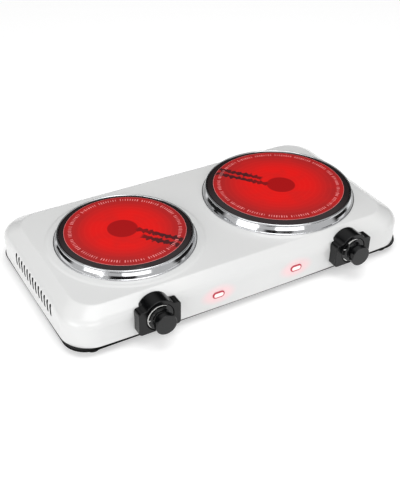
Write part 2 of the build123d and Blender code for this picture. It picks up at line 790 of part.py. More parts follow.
def make_knob(side):
    """Knob with a printed skirt, a waist and a round grip; its shaft and spring clip."""
    x = controls[side]
    flat = shaft_radius - shaft_flat
    length = knob_back_y - knob_face_y
    skirt = knob_back_y - bezel_front_y - skirt_recess
    waist = length - cap_length
    with BuildPart() as shaft:
        with BuildSketch(front_plane(x, regulator_y + shaft_engagement - 0.5, shaft_z)):
            Circle(shaft_radius)
        extrude(amount=regulator_y + shaft_engagement - 0.5 - knob_back_y)
        with BuildSketch(front_plane(x, knob_back_y, shaft_z)):
            d_section(shaft_radius, flat)
        extrude(amount=knob_back_y - shaft_end_y)
    finish(shaft, f"{side}_shaft")
    with BuildPart() as knob:
        with BuildSketch(Plane(origin=(x, knob_back_y, shaft_z), x_dir=(0, -1, 0),
                               z_dir=(-1, 0, 0))):
            with BuildLine():
                Polyline((0, 0), (0, skirt_radius), (skirt - 0.6, skirt_radius),
                         (skirt, skirt_radius - 0.6), (skirt, neck_radius + 1.6),
                         (skirt + 1.6, neck_radius), (waist - 1.6, neck_radius),
                         (waist, cap_radius), (length - 0.9, cap_radius),
                         (length, cap_radius - 0.9), (length, 0), close=True)
            make_face()
        revolve(axis=Axis((x, knob_back_y, shaft_z), (0, -1, 0)))
        hub = shaft_radius + knob_clearance + hub_wall
        with BuildSketch(front_plane(x, knob_back_y, shaft_z)):
            Circle(neck_radius - knob_wall)
            Circle(hub, mode=Mode.SUBTRACT)
        extrude(amount=length - knob_wall - 2, mode=Mode.SUBTRACT)
        with BuildSketch(front_plane(x, knob_back_y, shaft_z)):
            d_section(shaft_radius + knob_clearance, flat + clip_thickness + 2 * clip_play)
        extrude(amount=knob_back_y - shaft_end_y + 0.5, mode=Mode.SUBTRACT)
    finish(knob, f"{side}_knob")
    with BuildPart() as clip:
        with BuildSketch(front_plane(x, knob_back_y - 1, shaft_z)):
            with Locations((0, flat + clip_play + clip_thickness / 2)):
                Rectangle(clip_width, clip_thickness)
        extrude(amount=clip_length)
    finish(clip, f"{side}_knob_clip")


def make_bezel_screws():
    with BuildPart() as bezel_screws:
        for x in controls.values():
            with BuildSketch(front_plane(x, inner_front_y, shaft_z)):
                with Locations(*bezel_screw_spots):
                    Circle(3.0)
            extrude(amount=-2.0)
            with BuildSketch(front_plane(x, inner_front_y, shaft_z)):
                with Locations(*bezel_screw_spots):
                    Circle(bezel_screw_radius - bush_clearance)
            extrude(amount=bezel_screw_length - 1)
    finish(bezel_screws, "bezel_screws")


# ---------------------------------------------------------------- lamps, cord entry, wiring
def make_lamp(side):
    x = lamps[side]
    with BuildPart() as lens:
        with BuildSketch(front_plane(x, front_y, lamp_z)):
            SlotOverall(*lamp_flange)
        extrude(amount=lamp_flange_thickness)
        fillet(lens.faces().sort_by(Axis.Y)[0].edges(), 0.6)
        with BuildSketch(front_plane(x, front_y, lamp_z)):
            SlotOverall(*lamp_body)
        extrude(amount=-lamp_depth)
        with BuildSketch(back_plane(x, front_y + lamp_depth, lamp_z)):
            Circle(lamp_bore_radius)
        extrude(amount=-lamp_depth + 1.5, mode=Mode.SUBTRACT)
    finish(lens, f"{side}_lamp_lens")
    with BuildPart() as neon:
        with BuildSketch(back_plane(x, front_y + 2.0, lamp_z)):
            Circle(neon_radius)
        extrude(amount=neon_length)
        fillet(neon.faces().sort_by(Axis.Y)[0].edges(), 1.2)
        with BuildSketch(back_plane(x, front_y + 2.0 + neon_length, lamp_z)):
            with Locations((-0.8, 0), (0.8, 0)):
                Circle(0.3)
        extrude(amount=9)
    finish(neon, f"{side}_neon_lamp")


def make_gland():
    """Screwed cord gland in the back wall, its bore ready for the supply cord."""
    with BuildPart() as gland:
        with BuildSketch(back_plane(gland_x, back_y, gland_z)):
            Circle(gland_flange_radius)
        extrude(amount=2.5)
        with BuildSketch(back_plane(gland_x, back_y + 2.5, gland_z)):
            Circle(gland_nose_radius)
        extrude(amount=gland_overhang - 2.5)
        fillet(gland.faces().sort_by(Axis.Y)[-1].edges(), 1.2)
        with BuildSketch(back_plane(gland_x, back_y, gland_z)):
            Circle(gland_body_radius)
        extrude(amount=-sheet - gland_inside)
        with BuildSketch(back_plane(gland_x, back_y + gland_overhang, gland_z)):
            Circle(gland_bore_radius)
        extrude(amount=-gland_overhang - sheet - gland_inside, mode=Mode.SUBTRACT)
    finish(gland, "cord_gland")
    with BuildPart() as gland_nut:
        with BuildSketch(back_plane(gland_x, back_y - sheet, gland_z)):
            RegularPolygon(hexagon(gland_nut_across), 6)
            Circle(gland_body_radius + bush_clearance, mode=Mode.SUBTRACT)
        extrude(amount=-gland_nut_thickness)
    finish(gland_nut, "gland_nut")


def make_terminal_block():
    poles = [(gland_x + i * pole_pitch, block_y) for i in (-1, 0, 1)]
    with BuildPart() as block:
        with BuildSketch(Plane.XY.offset(base_floor)):
            with Locations((gland_x, block_y)):
                RectangleRounded(block_size[0], block_size[1], 1.5)
        extrude(amount=block_size[2])
        with BuildSketch(Plane.XY.offset(base_floor + block_size[2])):
            with Locations(*poles):
                Circle(pole_radius)
        extrude(amount=-block_size[2] + 3, mode=Mode.SUBTRACT)
    finish(block, "terminal_block")
    with BuildPart() as terminal_screws:
        with BuildSketch(Plane.XY.offset(base_floor + 4)):
            with Locations(*poles):
                Circle(pole_radius - bush_clearance)
        extrude(amount=block_size[2] - 5)
        with BuildSketch(Plane.XY.offset(base_floor + block_size[2] - 2)):
            with Locations(*poles):
                Rectangle(5, 0.8)
        extrude(amount=1.2, mode=Mode.SUBTRACT)
    finish(terminal_screws, "terminal_screws")
    place = (gland_x + earth_shift, block_y)
    with BuildPart() as earth_stud:
        with BuildSketch(Plane.XY.offset(base_floor)):
            with Locations(place):
                Circle(screw_radius)
        extrude(amount=12)
    finish(earth_stud, "earth_stud")
    with BuildPart() as earth_nut:
        with BuildSketch(Plane.XY.offset(base_floor)):
            with Locations(place):
                RegularPolygon(hexagon(screw_nut_across), 6)
                Circle(screw_radius + bush_clearance, mode=Mode.SUBTRACT)
        extrude(amount=screw_nut_thickness)
    finish(earth_nut, "earth_nut")


os.makedirs("parts", exist_ok=True)
make_top_housing()
make_base_plate()
for index, place in enumerate(foot_places):
    make_foot(index, place)
make_foot_fasteners()
make_posts()
for side in burners:
    make_trim_ring(side)
    make_burner(side)
    make_limiter(side)
    make_strap(side)
    make_bezel(side)
    make_regulator(side)
    make_knob(side)
    make_lamp(side)
make_bezel_screws()
make_gland()
make_terminal_block()
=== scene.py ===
import bpy
import bmesh
from math import atan2, cos, pi, radians, sin, tan
from mathutils import Matrix, Vector


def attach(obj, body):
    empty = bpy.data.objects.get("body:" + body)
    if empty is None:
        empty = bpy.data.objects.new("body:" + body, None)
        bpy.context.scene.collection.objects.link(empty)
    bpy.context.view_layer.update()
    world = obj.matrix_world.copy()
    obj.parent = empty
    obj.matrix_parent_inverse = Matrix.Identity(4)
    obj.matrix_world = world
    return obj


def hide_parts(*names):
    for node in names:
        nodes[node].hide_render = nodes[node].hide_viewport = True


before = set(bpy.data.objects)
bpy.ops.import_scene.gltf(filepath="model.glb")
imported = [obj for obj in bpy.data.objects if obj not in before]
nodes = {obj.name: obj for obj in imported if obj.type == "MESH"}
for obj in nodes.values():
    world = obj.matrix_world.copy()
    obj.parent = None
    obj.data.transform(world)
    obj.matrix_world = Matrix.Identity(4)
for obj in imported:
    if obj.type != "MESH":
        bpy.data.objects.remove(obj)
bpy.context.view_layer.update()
mm = 0.001
print("frame loaded:", len(nodes), "nodes")

middleY = 9.5            # middle of the housing, front to back
frontY = middleY - 118.5
burnerY = 7.5
burners = {
    "left": {"x": -106.5, "rim": 77.5, "seat": 52.8, "turn": -51.5},
    "right": {"x": 108.0, "rim": 90.0, "seat": 52.0, "turn": 128.5},
}
controls = {"left": -127.5, "right": 131.5}
shaftZ = 34.0
lamps = {"left": -48.0, "right": 57.5}
lampZ = 26.5


def linear(hexColour, alpha=1.0):
    parts = [int(hexColour[i:i + 2], 16) / 255 for i in (0, 2, 4)]
    return tuple(c / 12.92 if c <= 0.04045 else ((c + 0.055) / 1.055) ** 2.4
                 for c in parts) + (alpha,)


# adds a node, sets its fields, and fills or links its inputs
def addNode(tree, kind, inputs=None, **settings):
    made = tree.nodes.new(kind)
    for key, value in settings.items():
        setattr(made, key, value)
    for key, value in (inputs or {}).items():
        if isinstance(value, bpy.types.NodeSocket):
            tree.links.new(value, made.inputs[key])
        else:
            made.inputs[key].default_value = value
    return made


def startMaterial(name, baseHex, uniform):
    material = bpy.data.materials.new(name)
    material.use_nodes = True
    shader = material.node_tree.nodes["Principled BSDF"]
    shader.inputs["Base Color"].default_value = linear(baseHex)
    for key, value in uniform.items():
        shader.inputs[key].default_value = value
    place = addNode(material.node_tree, "ShaderNodeTexCoord").outputs["Object"]
    return material, material.node_tree, shader, place


# an outline with each corner swapped for an arc; radii run beside the points
def rounded(points, radii, steps=5, closed=True):
    out = []
    for i, point in enumerate(points):
        here = Vector(point)
        if radii[i] <= 0 or (not closed and i in (0, len(points) - 1)):
            out.append(tuple(here))
            continue
        back = (Vector(points[i - 1]) - here).normalized()
        ahead = (Vector(points[(i + 1) % len(points)]) - here).normalized()
        half = back.angle(ahead) / 2
        centre = here + (back + ahead).normalized() * (radii[i] / sin(half))
        first = here + back * (radii[i] / tan(half)) - centre
        last = here + ahead * (radii[i] / tan(half)) - centre
        start = atan2(first.y, first.x)
        turn = (atan2(last.y, last.x) - start + pi) % (2 * pi) - pi
        for k in range(steps + 1):
            angle = start + turn * k / steps
            out.append((centre.x + radii[i] * cos(angle), centre.y + radii[i] * sin(angle)))
    return out


# turns a profile of (radius, height) round an axis; a point on the axis closes to a pole
def lathe(bm, profile, origin, axis="z", steps=160, closed=False, slots=None):
    rings = []
    for radius, height in profile:
        count = 1 if radius < 1e-6 else steps
        ring = []
        for k in range(count):
            a = 2 * pi * k / steps
            if axis == "z":
                at = (origin[0] + radius * cos(a), origin[1] + radius * sin(a), origin[2] + height)
            else:
                at = (origin[0] + radius * cos(a), origin[1] - height, origin[2] + radius * sin(a))
            ring.append(bm.verts.new([c * mm for c in at]))
        rings.append(ring)
    pairs = list(zip(rings, rings[1:]))
    if closed:
        pairs.append((rings[-1], rings[0]))
    for index, (low, high) in enumerate(pairs):
        for k in range(steps):
            n = (k + 1) % steps
            corners = [low[k % len(low)], low[n % len(low)],
                       high[n % len(high)], high[k % len(high)]]
            face = bm.faces.new(list(dict.fromkeys(corners)))
            if slots:
                face.material_index = slots[index]


# a finished piece from a bmesh: smooth, its true corners kept sharp, riding on its body
def finishPiece(name, bm, materials, body="body", stands=(), sharp=32, turnOut=True):
    if turnOut:
        bmesh.ops.recalc_face_normals(bm, faces=bm.faces)
    mesh = bpy.data.meshes.new(name)
    bm.to_mesh(mesh)
    bm.free()
    mesh.shade_smooth()
    mesh.set_sharp_from_angle(angle=radians(sharp))
    for material in materials:
        mesh.materials.append(material)
    piece = bpy.data.objects.new(name, mesh)
    bpy.context.scene.collection.objects.link(piece)
    even = piece.modifiers.new("evenNormals", "WEIGHTED_NORMAL")
    even.keep_sharp = True
    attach(piece, body)
    if stands:
        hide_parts(*stands)
    return piece


# marks the border of each large flat face as sharp, so that it shades flat
def sharpenFlats(mesh):
    bm = bmesh.new()
    bm.from_mesh(mesh)
    seen = set()
    for start in bm.faces:
        if start in seen:
            continue
        seen.add(start)
        region = [start]
        for face in region:
            for edge in face.edges:
                for other in edge.link_faces:
                    if other not in seen and other.normal.dot(start.normal) > 0.99999:
                        seen.add(other)
                        region.append(other)
        if len(region) > 4 and sum(f.calc_area() for f in region) > 20 * mm * mm:
            inside = set(region)
            for edge in {e for f in region for e in f.edges}:
                if any(f not in inside for f in edge.link_faces):
                    edge.smooth = False
    bm.to_mesh(mesh)
    bm.free()


# a CAD solid with its triangles merged, so that its bends shade smoothly
def refined(node, material, body="body", sharp=32):
    bm = bmesh.new()
    bm.from_mesh(nodes[node].data)
    bmesh.ops.remove_doubles(bm, verts=bm.verts, dist=1e-6)
    piece = finishPiece(node + "Finished", bm, [material], body, (node,), sharp, False)
    sharpenFlats(piece.data)
    return piece


# Stoved enamel on pressed steel: high gloss, a faint orange peel, and a painted pink glow round each
# lit lamp
def stoveEnamel():
    material, tree, shader, place = startMaterial(
        "stovedWhiteEnamel", "DEDFDF", {"IOR": 1.5, "Coat Weight": 0.3, "Coat Roughness": 0.08})
    cloud = addNode(tree, "ShaderNodeTexNoise", {"Vector": place, "Scale": 9.0, "Detail": 2.0})
    tone = addNode(tree, "ShaderNodeMix", {0: cloud.outputs["Fac"], 6: linear("DBDCDC"),
                                           7: linear("E1E1E0")}, data_type="RGBA")
    colour = tone.outputs[2]
    # painted pink glow: the lamps' light on the enamel, fading out round each lamp
    for x in lamps.values():
        near = addNode(tree, "ShaderNodeMapping",
                       {"Vector": place, "Location": (x * mm, frontY * mm, lampZ * mm),
                        "Scale": (27 * mm, 30 * mm, 15 * mm)}, vector_type="TEXTURE")
        far = addNode(tree, "ShaderNodeVectorMath", {0: near.outputs[0]}, operation="LENGTH")
        share = addNode(tree, "ShaderNodeMapRange",
                        {"Value": far.outputs["Value"], 1: 0.4, 2: 1.0, 3: 0.75, 4: 0.0},
                        interpolation_type="SMOOTHSTEP")
        colour = addNode(tree, "ShaderNodeMix", {0: share.outputs[0], 6: colour,
                                                 7: linear("FBD2D5")}, data_type="RGBA").outputs[2]
    tree.links.new(colour, shader.inputs["Base Color"])
    peel = addNode(tree, "ShaderNodeTexNoise", {"Vector": place, "Scale": 1 / (2.6 * mm),
                                                "Detail": 1.5})
    rough = addNode(tree, "ShaderNodeMapRange", {"Value": peel.outputs["Fac"], 3: 0.2, 4: 0.28})
    tree.links.new(rough.outputs[0], shader.inputs["Roughness"])
    bump = addNode(tree, "ShaderNodeBump", {"Height": peel.outputs["Fac"], "Strength": 0.2,
                                            "Distance": 0.02 * mm})
    tree.links.new(bump.outputs[0], shader.inputs["Normal"])
    return material


# Spun and buffed stainless: a mirror with hairlines that run round the ring
def buffedStainless(side):
    material, tree, shader, place = startMaterial(
        side + "BuffedStainless", "CFD0D2", {"Metallic": 1.0})
    centred = addNode(tree, "ShaderNodeMapping",
                      {"Vector": place, "Location": (burners[side]["x"] * mm, burnerY * mm, 0)},
                      vector_type="TEXTURE").outputs[0]
    split = addNode(tree, "ShaderNodeSeparateXYZ", {0: centred})
    flat = addNode(tree, "ShaderNodeCombineXYZ", {0: split.outputs[0], 1: split.outputs[1]})
    out = addNode(tree, "ShaderNodeVectorMath", {0: flat.outputs[0]}, operation="LENGTH")
    turn = addNode(tree, "ShaderNodeMath", {0: split.outputs[1], 1: split.outputs[0]},
                   operation="ARCTAN2")
    slow = addNode(tree, "ShaderNodeMath", {0: turn.outputs[0], 1: 0.004}, operation="MULTIPLY")
    line = addNode(tree, "ShaderNodeCombineXYZ", {0: out.outputs["Value"], 1: slow.outputs[0],
                                                  2: split.outputs[2]})
    hair = addNode(tree, "ShaderNodeTexNoise", {"Vector": line.outputs[0],
                                                "Scale": 1 / (0.5 * mm), "Detail": 3.0})
    rough = addNode(tree, "ShaderNodeMapRange", {"Value": hair.outputs["Fac"], 3: 0.05, 4: 0.14})
    tree.links.new(rough.outputs[0], shader.inputs["Roughness"])
    bump = addNode(tree, "ShaderNodeBump", {"Height": hair.outputs["Fac"], "Strength": 0.12,
                                            "Distance": 0.01 * mm})
    tree.links.new(bump.outputs[0], shader.inputs["Normal"])
    return material


# Glass ceramic lit from below: the red glow of the coil is painted into its emission, with the hub
# and the two limiter bars painted in as dark silhouettes
glow = {"bright": "E61C1A", "outer": "A42829", "patch": "CC2221", "turns": "F03A2E", "hub": "A81416",
        "barNear": "86191B", "barFar": "4A2124", "hubRadius": 18.0, "hubAway": 3.5, "barHalf": 3.6,
        "barOff": 5.6, "bead": 0.9, "beadPitch": 7.4, "turnPitch": 6.5, "strength": 0.96}


def litGlass(side):
    burner = burners[side]
    material, tree, shader, place = startMaterial(
        side + "LitGlassCeramic", "1E0303",
        {"Roughness": 0.07, "IOR": 1.5, "Specular IOR Level": 0.1,
         "Emission Strength": glow["strength"]})
    local = addNode(tree, "ShaderNodeMapping",
                    {"Vector": place, "Location": (burner["x"] * mm, burnerY * mm, 0),
                     "Rotation": (0, 0, radians(burner["turn"])), "Scale": (mm, mm, mm)},
                    vector_type="TEXTURE").outputs[0]
    split = addNode(tree, "ShaderNodeSeparateXYZ", {0: local})
    x, y = split.outputs[0], split.outputs[1]
    flat = addNode(tree, "ShaderNodeCombineXYZ", {0: x, 1: y}).outputs[0]
    out = addNode(tree, "ShaderNodeVectorMath", {0: flat}, operation="LENGTH").outputs["Value"]
    # painted glow, fullest round the hub, duller towards the print, with soft uneven patches
    fade = addNode(tree, "ShaderNodeMapRange", {"Value": out, 1: 34.0, 2: burner["rim"] - 9},
                   interpolation_type="SMOOTHSTEP").outputs[0]
    colour = addNode(tree, "ShaderNodeMix", {0: fade, 6: linear(glow["bright"]),
                                             7: linear(glow["outer"])}, data_type="RGBA").outputs[2]
    cloud = addNode(tree, "ShaderNodeTexNoise", {"Vector": flat, "Scale": 1 / 34, "Detail": 3.0})
    patch = addNode(tree, "ShaderNodeMapRange",
                    {"Value": cloud.outputs["Fac"], 1: 0.42, 2: 0.7, 4: 0.6},
                    interpolation_type="SMOOTHSTEP").outputs[0]
    colour = addNode(tree, "ShaderNodeMix", {0: patch, 6: colour, 7: linear(glow["patch"])},
                     data_type="RGBA").outputs[2]
    # the ribbon's turns, painted as faint brighter rings in the glow
    phase = addNode(tree, "ShaderNodeMath", {0: out, 1: 2 * pi / glow["turnPitch"]},
                    operation="MULTIPLY").outputs[0]
    wave = addNode(tree, "ShaderNodeMath", {0: phase}, operation="SINE").outputs[0]
    turns = addNode(tree, "ShaderNodeMapRange", {"Value": wave, 1: 0.2, 2: 1.0, 4: 0.07}).outputs[0]
    colour = addNode(tree, "ShaderNodeMix", {0: turns, 6: colour, 7: linear(glow["turns"])},
                     data_type="RGBA").outputs[2]
    # the hub's painted dark silhouette stands a little away from the bars
    hubAt = addNode(tree, "ShaderNodeVectorMath", {0: flat, 1: (-glow["hubAway"], 0, 0)},
                    operation="DISTANCE").outputs["Value"]
    hub = addNode(tree, "ShaderNodeMapRange", {"Value": hubAt, 1: glow["hubRadius"] + 0.7,
                                               2: glow["hubRadius"] - 0.7}).outputs[0]
    colour = addNode(tree, "ShaderNodeMix", {0: hub, 6: colour, 7: linear(glow["hub"])},
                     data_type="RGBA").outputs[2]
    # two ragged beaded bars painted as dark silhouettes, darker further out; the second starts
    # further out
    deepen = addNode(tree, "ShaderNodeMapRange", {"Value": x, 1: 16.0, 2: 48.0},
                     interpolation_type="SMOOTHSTEP").outputs[0]
    dark = addNode(tree, "ShaderNodeMix", {0: deepen, 6: linear(glow["barNear"]),
                                           7: linear(glow["barFar"])}, data_type="RGBA").outputs[2]
    for sign, start in ((1, 12.0), (-1, 24.0)):
        along = addNode(tree, "ShaderNodeMath", {0: x, 1: 2 * pi / glow["beadPitch"]},
                        operation="MULTIPLY").outputs[0]
        shifted = addNode(tree, "ShaderNodeMath", {0: along, 1: sign * 0.9},
                          operation="ADD").outputs[0]
        beads = addNode(tree, "ShaderNodeMath", {0: shifted}, operation="SINE").outputs[0]
        ragged = addNode(tree, "ShaderNodeTexNoise", {"Vector": flat, "Scale": 0.24, "Detail": 1.0})
        rough = addNode(tree, "ShaderNodeMapRange", {"Value": ragged.outputs["Fac"], 1: 0.3, 2: 0.7,
                                                     3: -1.9, 4: 1.9}).outputs[0]
        swell = addNode(tree, "ShaderNodeMath", {0: beads, 1: glow["bead"], 2: rough},
                        operation="MULTIPLY_ADD").outputs[0]
        across = addNode(tree, "ShaderNodeMath", {0: y, 1: sign * glow["barOff"]},
                         operation="SUBTRACT").outputs[0]
        off = addNode(tree, "ShaderNodeMath", {0: across}, operation="ABSOLUTE").outputs[0]
        edge = addNode(tree, "ShaderNodeMath", {0: off, 1: swell}, operation="SUBTRACT").outputs[0]
        body = addNode(tree, "ShaderNodeMapRange", {"Value": edge, 1: glow["barHalf"] + 0.5,
                                                    2: glow["barHalf"] - 0.5}).outputs[0]
        begun = addNode(tree, "ShaderNodeMapRange", {"Value": x, 1: start - 1.5,
                                                     2: start + 1.5}).outputs[0]
        span = addNode(tree, "ShaderNodeMath", {0: begun, 1: body}, operation="MULTIPLY").outputs[0]
        colour = addNode(tree, "ShaderNodeMix", {0: span, 6: colour, 7: dark},
                         data_type="RGBA").outputs[2]
    tree.links.new(colour, shader.inputs["Emission Color"])
    return material


# Ceramic frit fired under the glass: brown black, faintly mottled
def firedFrit():
    material, tree, shader, place = startMaterial(
        "firedBlackFrit", "241F20", {"Roughness": 0.09, "IOR": 1.5, "Specular IOR Level": 0.3})
    mottle = addNode(tree, "ShaderNodeTexNoise", {"Vector": place, "Scale": 1 / (1.2 * mm),
                                                  "Detail": 3.0})
    tone = addNode(tree, "ShaderNodeMix", {0: mottle.outputs["Fac"], 6: linear("241D1E"),
                                           7: linear("31292A")}, data_type="RGBA")
    tree.links.new(tone.outputs[2], shader.inputs["Base Color"])
    return material


# A lit neon behind a red lens: white hot in the middle, red where the lens wall is thick
def litLens(side):
    material, tree, shader, place = startMaterial(
        side + "LitPilotLens", "5A0A14",
        {"Roughness": 0.15, "IOR": 1.49, "Emission Strength": 1.15})
    local = addNode(tree, "ShaderNodeMapping",
                    {"Vector": place, "Location": (lamps[side] * mm, 0, lampZ * mm),
                     "Scale": (mm, mm, mm)}, vector_type="TEXTURE").outputs[0]
    split = addNode(tree, "ShaderNodeSeparateXYZ", {0: local})
    along = addNode(tree, "ShaderNodeMath", {0: split.outputs[0]}, operation="ABSOLUTE")
    past = addNode(tree, "ShaderNodeMath", {0: along.outputs[0], 1: 3.5}, operation="SUBTRACT")
    past = addNode(tree, "ShaderNodeMath", {0: past.outputs[0], 1: 0.0}, operation="MAXIMUM")
    reach = addNode(tree, "ShaderNodeCombineXYZ", {0: past.outputs[0], 1: split.outputs[2]})
    off = addNode(tree, "ShaderNodeVectorMath", {0: reach.outputs[0]}, operation="LENGTH")
    glow = addNode(tree, "ShaderNodeValToRGB", {0: addNode(
        tree, "ShaderNodeMapRange", {"Value": off.outputs["Value"], 1: 0.0, 2: 4.25}).outputs[0]})
    glow.color_ramp.elements[0].color = linear("FFF6F2")
    glow.color_ramp.elements[0].position = 0.42
    glow.color_ramp.elements[1].color = linear("9E2236")
    glow.color_ramp.elements[1].position = 0.72
    tree.links.new(glow.outputs[0], shader.inputs["Emission Color"])
    return material


# an even finish with a fine grain: two tones, a roughness range and a bump, all on one grain size
def grained(name, darkHex, lightHex, grainMm, rough, bumpMm, uniform, stretch=(1, 1, 1)):
    material, tree, shader, place = startMaterial(name, darkHex, uniform)
    laid = addNode(tree, "ShaderNodeMapping", {"Vector": place, "Scale": stretch}).outputs[0]
    grain = addNode(tree, "ShaderNodeTexNoise", {"Vector": laid, "Scale": 1 / (grainMm * mm),
                                                 "Detail": 4.0, "Roughness": 0.55})
    tone = addNode(tree, "ShaderNodeMix", {0: grain.outputs["Fac"], 6: linear(darkHex),
                                           7: linear(lightHex)}, data_type="RGBA")
    tree.links.new(tone.outputs[2], shader.inputs["Base Color"])
    gloss = addNode(tree, "ShaderNodeMapRange", {"Value": grain.outputs["Fac"], 1: 0.3, 2: 0.7,
                                                 3: rough[0], 4: rough[1]})
    tree.links.new(gloss.outputs[0], shader.inputs["Roughness"])
    bump = addNode(tree, "ShaderNodeBump", {"Height": grain.outputs["Fac"], "Strength": 0.5,
                                            "Distance": bumpMm * mm})
    tree.links.new(bump.outputs[0], shader.inputs["Normal"])
    return material


enamel = stoveEnamel()
frit = firedFrit()
# moulded ABS, semi gloss, spark-eroded mould skin
bezelAbs = grained("mouldedBlackAbs", "060607", "0A0B0C", 0.5, (0.16, 0.24), 0.005,
                   {"IOR": 1.53, "Specular IOR Level": 0.3})
# pressed phenolic, polished mould, so nearly a mirror in black
knobPhenolic = grained("pressedBlackPhenolic", "060607", "0B0C0D", 0.8, (0.12, 0.18), 0.003,
                       {"IOR": 1.55, "Specular IOR Level": 0.36})
# black stoved enamel on the base pressing
baseEnamel = grained("stovedBlackEnamel", "060606", "0B0B0C", 1.8, (0.3, 0.42), 0.015,
                     {"IOR": 1.5, "Specular IOR Level": 0.2})
# the dark ground coat that enamelled steel keeps on its inside; on the vents' cut walls it is
# painted shade inside the slots
groundCoatAndSlotShade = grained("darkGroundCoatAndSlotShade", "1A1B1C", "26272A", 1.5, (0.5, 0.65), 0.02, {"IOR": 1.5})
# moulded nitrile rubber, dull with a dusty bloom
footRubber = grained("mouldedNitrileRubber", "0E0E0E", "181818", 0.7, (0.62, 0.8), 0.03,
                     {"IOR": 1.52, "Specular IOR Level": 0.3})
# bright zinc over turned or pressed steel
zincPlate = grained("brightZincPlate", "A9ADB0", "C6C9CA", 0.9, (0.26, 0.4), 0.008,
                    {"Metallic": 1.0})
# hot-dip aluminised sheet with its fine spangle
aluminised = grained("aluminisedSteel", "94979A", "B4B7B8", 2.4, (0.34, 0.5), 0.012,
                     {"Metallic": 1.0})
# pressed microporous insulation, chalky
mineralBoard = grained("pressedMineralBoard", "D6CFC2", "EAE5DA", 1.1, (0.86, 0.96), 0.12,
                       {"IOR": 1.45})
# iron chromium aluminium ribbon at red heat
hotRibbon = grained("redHotRibbon", "7A1C10", "B0321C", 1.5, (0.5, 0.65), 0.01,
                    {"Emission Color": linear("FF3A18"), "Emission Strength": 1.2})
# dust-pressed steatite, unglazed
steatite = grained("pressedSteatite", "C9C1B2", "DDD6C8", 0.6, (0.55, 0.7), 0.03, {"IOR": 1.55})
# cordierite, stained brown by the heat
cordierite = grained("firedCordierite", "5A3A30", "7A5142", 0.8, (0.7, 0.85), 0.04, {"IOR": 1.5})
# woven glass fibre tape under the glass
fibreTape = grained("glassFibreTape", "CFC9BC", "E4DFD3", 0.5, (0.8, 0.95), 0.06, {"IOR": 1.5},
                    (1, 1, 3))
# moulded glass-filled polyester of the switch bodies
switchPolyester = grained("mouldedPolyester", "CFCABD", "DDD9CE", 0.9, (0.42, 0.55), 0.012,
                          {"IOR": 1.53})
# black nylon of the gland, slightly waxy
glandNylon = grained("mouldedBlackNylon", "121212", "1C1C1C", 0.8, (0.4, 0.52), 0.012,
                     {"IOR": 1.53})
# turned brass, lightly tarnished
turnedBrass = grained("turnedBrass", "A88C4A", "C6AB62", 0.7, (0.24, 0.38), 0.008,
                      {"Metallic": 1.0})
# blued spring steel
springSteel = grained("bluedSpringSteel", "4A4E55", "6A6E74", 0.6, (0.28, 0.4), 0.005,
                      {"Metallic": 1.0})
# neon glass with its orange discharge
neonGlass = grained("litNeonGlass", "F0905A", "FFB484", 1.0, (0.08, 0.14), 0.002,
                    {"IOR": 1.5, "Emission Color": linear("FF7A3C"), "Emission Strength": 2.0})
# fired print over the glow; the glow shining through it is painted into its pink colour and emission
glowPrint = grained("firedPrintPaintedGlow", "8A4444", "9A5454", 0.5, (0.4, 0.5), 0.004,
                    {"IOR": 1.5, "Specular IOR Level": 0.2, "Emission Color": linear("E08484"),
                     "Emission Strength": 0.8})
# screen-printed white, slightly chalky
printWhite = grained("screenPrintedWhite", "D9D9D6", "F2F2F0", 0.5, (0.5, 0.6), 0.004, {"IOR": 1.5})
print("materials made")


housing = {"length": 450.0, "width": 237.0, "corner": 35.0, "edge": 11.0, "wallTop": 41.0,
           "run": 18.0, "rise": 11.0, "bend": 12.0, "crease": 5.0, "fieldCorner": 29.0,
           "frontDrop": 2.6, "sideDrop": 1.8, "sheet": 0.8, "openingInset": 4.0,
           "platform": 91.0, "platformFall": 4.5}


# a loop round a rounded rectangle, the same number of points whatever its size
def walkRound(inset, corner, z, cornerSteps=20, longSteps=40, shortSteps=24):
    halfX = housing["length"] / 2 - inset - corner
    halfY = housing["width"] / 2 - inset - corner
    points = []
    sides = [((halfX, -halfY), -90, shortSteps, (0, 1)), ((halfX, halfY), 0, longSteps, (-1, 0)),
             ((-halfX, halfY), 90, shortSteps, (0, -1)), ((-halfX, -halfY), 180, longSteps, (1, 0))]
    for (cx, cy), begin, steps, along in sides:
        for k in range(cornerSteps):
            a = radians(begin + 90 * k / cornerSteps)
            points.append((cx + corner * cos(a), cy + corner * sin(a)))
        ax, ay = cx + corner * cos(radians(begin + 90)), cy + corner * sin(radians(begin + 90))
        reach = 2 * (halfX if along[0] else halfY)
        for k in range(steps):
            points.append((ax + along[0] * reach * k / steps, ay + along[1] * reach * k / steps))
    return [(x, y + middleY, z) for x, y in points]


# how far the wall's edge hangs below the corners' level
def hang(x, y):
    halfX = housing["length"] / 2 - housing["corner"] - 2
    halfY = housing["width"] / 2 - housing["corner"] - 2
    if abs(x) < halfX and abs(y - middleY) > halfY:
        return housing["frontDrop"] * (1 - (x / halfX) ** 2)
    if abs(y - middleY) < halfY:
        return housing["sideDrop"] * (1 - ((y - middleY) / halfY) ** 2)
    return 0.0


# the section from the wall's edge to the field: (inset, height) with both bends rounded
def housingSection():
    slope = [(0, 14.0), (0, housing["wallTop"]),
             (housing["run"], housing["wallTop"] + housing["rise"]),
             (housing["run"] + 1.6, housing["wallTop"] + housing["rise"])]
    return rounded(slope, [0, housing["bend"], housing["crease"], 0], 12, False)


